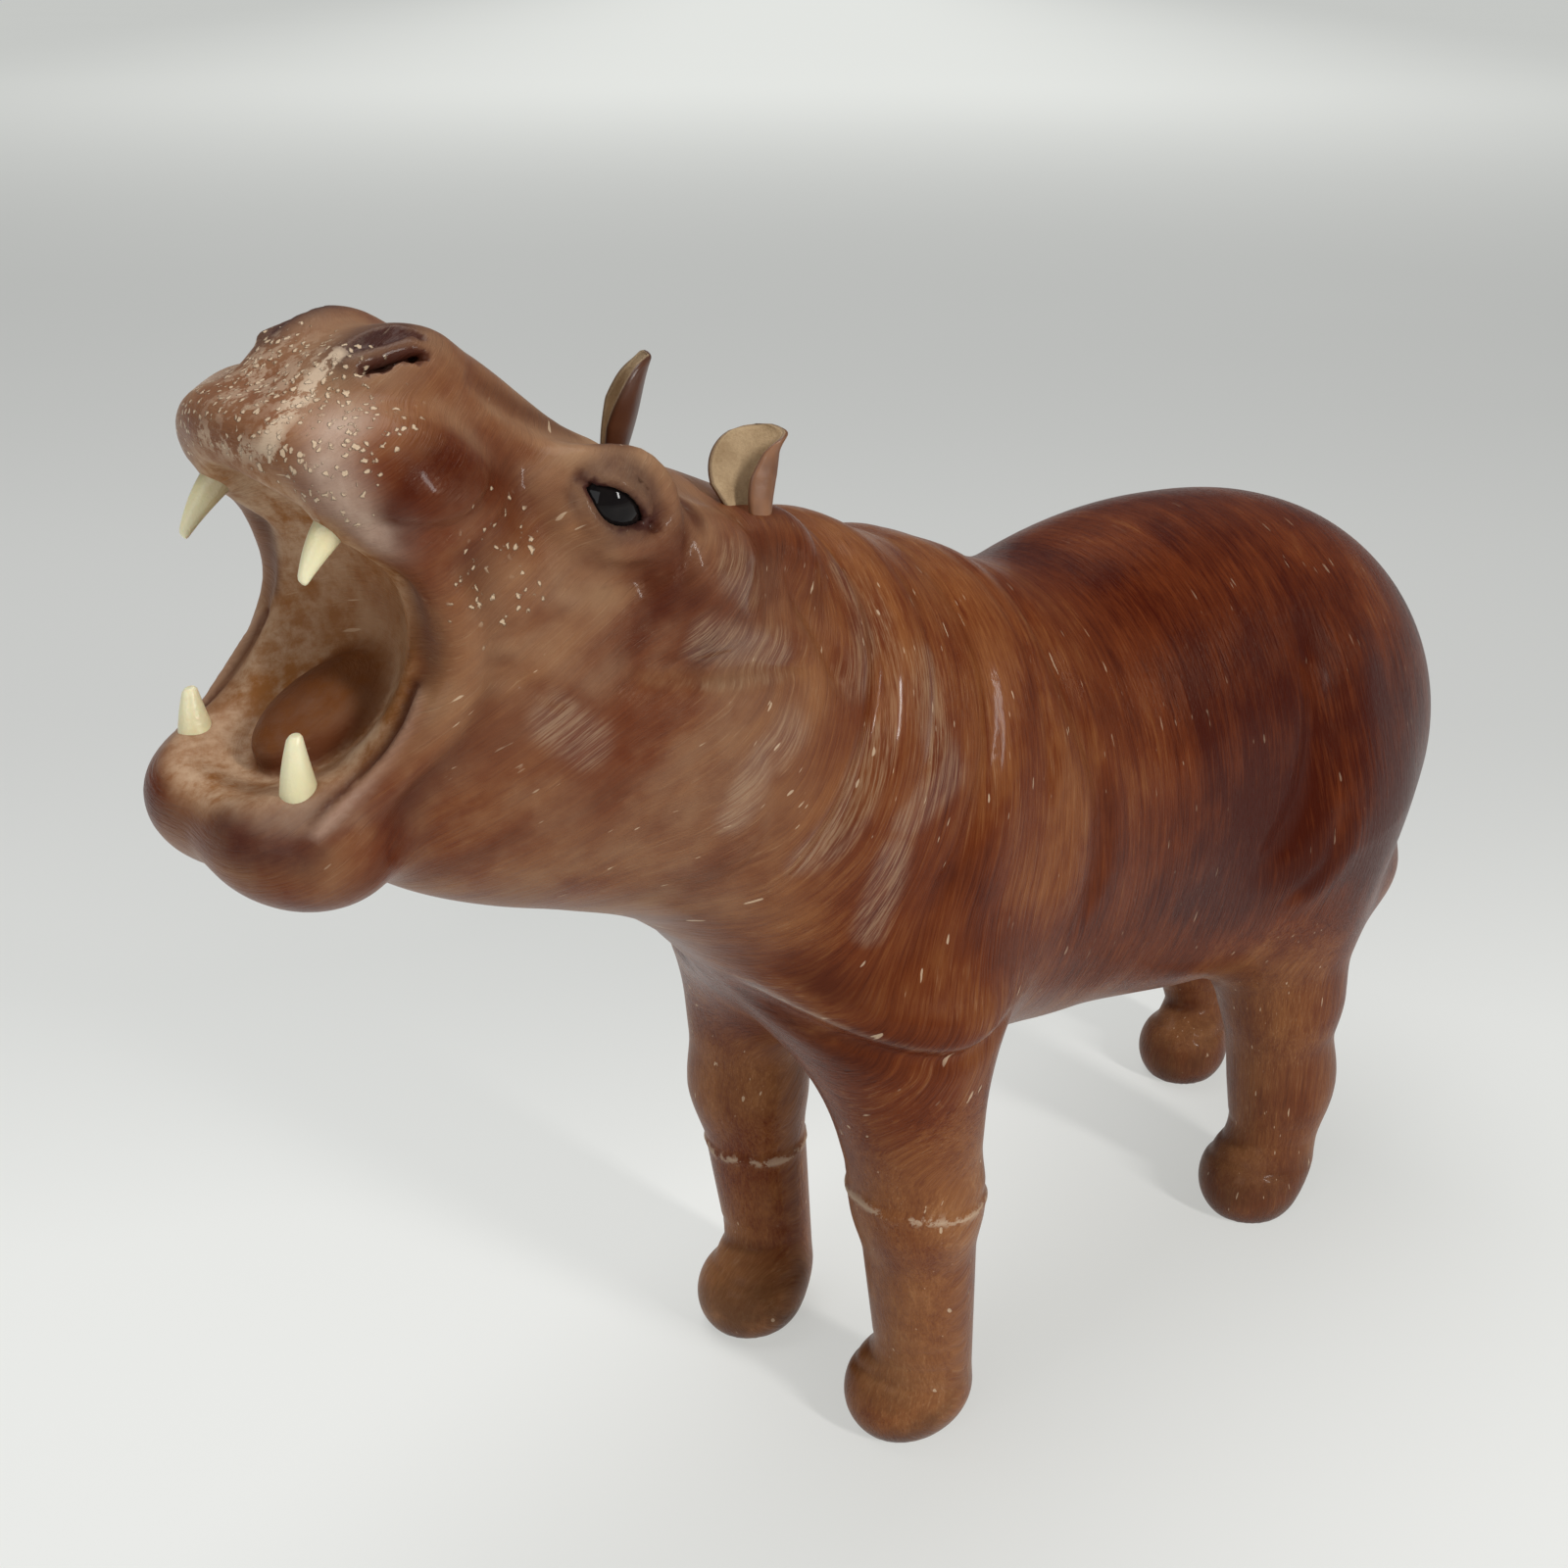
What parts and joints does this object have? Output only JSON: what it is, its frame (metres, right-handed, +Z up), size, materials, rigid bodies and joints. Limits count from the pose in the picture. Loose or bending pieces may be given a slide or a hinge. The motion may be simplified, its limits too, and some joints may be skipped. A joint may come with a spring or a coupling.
{
  "type": "leather hippopotamus figurine",
  "caption": "Walking hippopotamus figurine in glossy brown leather, its mouth wide open, with ivory-coloured tusks, black glass eyes and cut leather ears.",
  "frame": {"origin": "on the ground, under the middle of the figure's bounding box", "axes": "+X from the mouth towards the tail, -Y the figure's left side, +Z up"},
  "size_m": [0.4078, 0.1302, 0.3123],
  "materials": {
    "leather": "glossy",
    "ear_leather": "suede",
    "tusk": "satin",
    "black_glass": "polished"
  },
  "bodies": {
    "root": {"body": "leather", "eye_left": "black_glass", "ear_left": "ear_leather", "upper_tusk_left": "tusk", "lower_tusk_left": "tusk", "eye_right": "black_glass", "ear_right": "ear_leather", "upper_tusk_right": "tusk", "lower_tusk_right": "tusk"}
  },
  "joints": []
}
